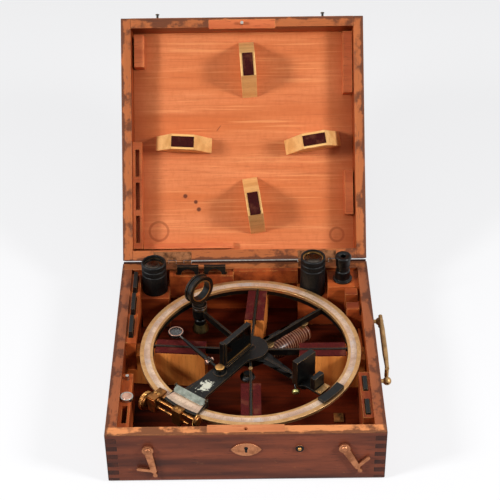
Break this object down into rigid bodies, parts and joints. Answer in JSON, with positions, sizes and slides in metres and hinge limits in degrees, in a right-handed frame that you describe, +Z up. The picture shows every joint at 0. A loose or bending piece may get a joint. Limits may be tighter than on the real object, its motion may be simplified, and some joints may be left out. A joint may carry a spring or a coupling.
{
  "type": "hydrographic circle",
  "caption": "Reflecting surveying circle with ribbed wheel, index arm, mirrors and magnifier, lying in its hinged wooden case with telescopes and shades.",
  "frame": {"origin": "centre of the case's underside", "axes": "+Z up, the lock side faces -Y, the lid's hinge runs along X at the back"},
  "size_m": [0.3352, 0.5624, 0.3299],
  "materials": {
    "case_wood": "oiled mahogany, worn",
    "inner_wood": "plain mahogany",
    "pale_wood": "planed pale wood",
    "lining": "worn baize",
    "brass": "lacquered, tarnished",
    "black_brass": "black lacquer, worn",
    "silver": "inlaid silver",
    "steel": "bright",
    "leather": "pebbled black",
    "mirror": "old silvering",
    "glass": "clear",
    "frosted": "frosted",
    "turned_wood": "french polish"
  },
  "bodies": {
    "case": {"front_board": "case_wood", "back_board": "case_wood", "side_boards": "case_wood", "floor_board": "inner_wood", "cradle_blocks": "inner_wood", "cradle_linings": "lining", "accessory_racks": "inner_wood", "telescope_wells": "inner_wood", "lock_inlay": "inner_wood", "escutcheon": "brass", "front_screws": "brass", "handle_posts": "brass", "hinge_leaves": "brass", "hinge_pins": "steel", "stowed_shades": "black_brass", "spare_pieces": "steel"},
    "lid": {"lid_front_board": "case_wood", "lid_back_board": "case_wood", "lid_side_boards": "case_wood", "lid_panel": "inner_wood", "hold_down_blocks": "pale_wood", "hold_down_pads": "lining", "lid_strips": "case_wood", "lock_peg": "steel", "hook_studs": "brass", "lid_hinge_leaves": "brass"},
    "left_hook": {"left_hook": "brass"},
    "right_hook": {"right_hook": "brass"},
    "handle": {"bail_handle": "brass"},
    "circle": {"wheel_frame": "black_brass", "limb_ring": "brass", "silver_scale": "silver", "grip": "turned_wood", "grip_posts": "brass", "pillar_sleeve": "black_brass", "pillar_foot": "brass", "horizon_bracket": "black_brass", "horizon_clamp": "black_brass", "bracket_screws": "brass"},
    "collar": {"collar": "black_brass"},
    "collar_nut": {"collar_nut": "brass"},
    "horizon_mirror": {"horizon_mirror_frame": "black_brass", "horizon_mirror_glass": "mirror"},
    "clamp": {"clamp_block": "black_brass"},
    "tangent_screw": {"tangent_screw": "brass"},
    "clamp_screw": {"clamp_screw": "brass"},
    "index_arm": {"index_arm": "black_brass", "centre_axle": "steel", "vernier": "silver", "index_mirror_frame": "black_brass", "index_mirror_glass": "mirror"},
    "magnifier_bracket": {"magnifier_bracket": "brass"},
    "magnifier": {"magnifier_arm": "steel", "magnifier_lens": "glass"},
    "diffuser": {"diffuser": "frosted"},
    "left_telescope": {"left_telescope": "leather", "left_telescope_lens": "glass"},
    "right_telescope": {"right_telescope": "leather", "right_telescope_lens": "glass"},
    "eyepiece": {"eyepiece": "black_brass"}
  },
  "joints": [
    {"name": "lid_hinge", "type": "hinge", "parent": "case", "child": "lid", "pos_m": [0, 0.1623, 0.07515], "axis": [-1, 0, 0], "range_deg": [-128, 0]},
    {"name": "left_hook_swing", "type": "hinge", "parent": "case", "child": "left_hook", "pos_m": [-0.112, -0.1626, 0.053], "axis": [0, 1, 0], "range_deg": [0, 180]},
    {"name": "right_hook_swing", "type": "hinge", "parent": "case", "child": "right_hook", "pos_m": [0.112, -0.1626, 0.053], "axis": [0, -1, 0], "range_deg": [0, 142]},
    {"name": "handle_swing", "type": "hinge", "parent": "case", "child": "handle", "pos_m": [0.17, 0.007, 0.052], "axis": [0, 1, 0], "range_deg": [0, 170]},
    {"name": "circle_lift", "type": "slide", "parent": "case", "child": "circle", "axis": [0, 0, 1], "range_m": [0, 0.12]},
    {"name": "arm_turn", "type": "hinge", "parent": "circle", "child": "clamp", "pos_m": [0.0062, 0, 0.0643], "axis": [0, 0, 1], "range_deg": [-3, 10]},
    {"name": "tangent_turn", "type": "hinge", "parent": "clamp", "child": "tangent_screw", "pos_m": [-0.08024, -0.11064, 0.0545], "axis": [0.788, -0.6157, 0], "range_deg": [-840, 840]},
    {"name": "fine_turn", "type": "hinge", "parent": "clamp", "child": "index_arm", "pos_m": [0.0062, 0, 0.0643], "axis": [0, 0, 1], "range_deg": [-1, 1]},
    {"name": "clamp_screw_turn", "type": "hinge", "parent": "clamp", "child": "clamp_screw", "pos_m": [-0.08024, -0.11064, 0.066], "axis": [0.788, -0.6157, 0], "range_deg": [0, 720]},
    {"name": "magnifier_swing", "type": "hinge", "parent": "index_arm", "child": "magnifier_bracket", "pos_m": [-0.03069, -0.04478, 0.066], "axis": [0, 0, 1], "range_deg": [0, 65]},
    {"name": "magnifier_tilt", "type": "hinge", "parent": "magnifier_bracket", "child": "magnifier", "pos_m": [-0.04337, -0.02867, 0.0694], "axis": [0.7859, 0.6184, 0], "range_deg": [0, 40]},
    {"name": "diffuser_tilt", "type": "hinge", "parent": "index_arm", "child": "diffuser", "pos_m": [-0.06362, -0.08936, 0.0735], "axis": [-0.788, 0.6157, 0], "range_deg": [0, 25]},
    {"name": "nut_turn", "type": "hinge", "parent": "circle", "child": "collar_nut", "pos_m": [-0.05783, 0.08195, 0.067], "axis": [0, 0, 1], "range_deg": [0, 1800]},
    {"name": "collar_rise", "type": "slide", "parent": "circle", "child": "collar", "axis": [0, 0, 1], "range_m": [0, 0.0105]},
    {"name": "horizon_adjust", "type": "hinge", "parent": "circle", "child": "horizon_mirror", "pos_m": [0.06937, -0.05688, 0.065], "axis": [0, 0, 1], "range_deg": [-1.5, 1.5]},
    {"name": "left_telescope_lift", "type": "slide", "parent": "case", "child": "left_telescope", "axis": [0, 0, 1], "range_m": [0, 0.1]},
    {"name": "right_telescope_lift", "type": "slide", "parent": "case", "child": "right_telescope", "axis": [0, 0, 1], "range_m": [0, 0.1]},
    {"name": "eyepiece_lift", "type": "slide", "parent": "case", "child": "eyepiece", "axis": [0, 0, 1], "range_m": [0, 0.06]}
  ],
  "couplings": [
    {"joint": "fine_turn", "follows": "tangent_turn", "ratio": 0.0011336},
    {"joint": "collar_rise", "follows": "nut_turn", "m_per_rad": 0.00031831}
  ]
}
